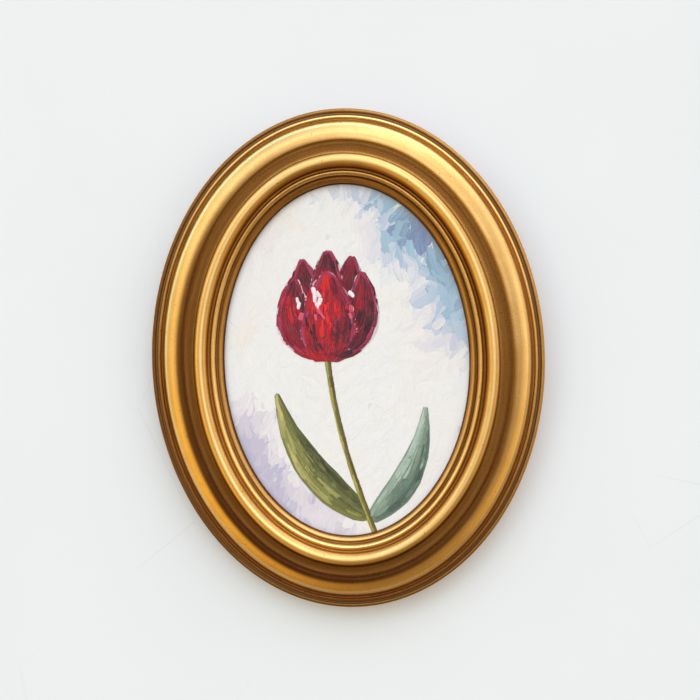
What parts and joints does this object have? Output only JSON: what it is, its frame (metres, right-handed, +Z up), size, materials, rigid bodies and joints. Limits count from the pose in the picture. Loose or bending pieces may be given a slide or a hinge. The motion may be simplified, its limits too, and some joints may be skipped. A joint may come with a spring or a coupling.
{
  "type": "oval framed picture",
  "caption": "Small oval painted panel in a turned wooden frame with an antique gold finish, held by framer's points and hung on a sawtooth hanger.",
  "frame": {"origin": "the point in the wall's plane where the wall nail carries the middle notch of the sawtooth hanger", "axes": "+Z up, +X to the right of someone who looks at the picture, +Y into the wall; the picture faces -Y and the wall is the plane y = 0"},
  "size_m": [0.19, 0.0195, 0.2412],
  "materials": {
    "antique_gold": "antique gold leaf over gesso on turned wood, satin, umber wash in the hollows; bare wood on the back",
    "painted_canvas_board": "oil paint with raised strokes on canvas board",
    "grey_board": "matt grey pulp board",
    "blued_steel": "thin blued spring steel",
    "brassed_steel": "brass-plated stamped steel",
    "felt": "dense brown felt"
  },
  "bodies": {
    "root": {"frame_moulding": "antique_gold", "painted_panel": "painted_canvas_board", "backing_board": "grey_board", "framers_point_1": "blued_steel", "framers_point_2": "blued_steel", "framers_point_3": "blued_steel", "framers_point_4": "blued_steel", "framers_point_5": "blued_steel", "framers_point_6": "blued_steel", "framers_point_7": "blued_steel", "framers_point_8": "blued_steel", "sawtooth_hanger": "brassed_steel", "hanger_nail_left": "brassed_steel", "hanger_nail_right": "brassed_steel", "wall_bumper_left": "felt", "wall_bumper_right": "felt"}
  },
  "joints": []
}
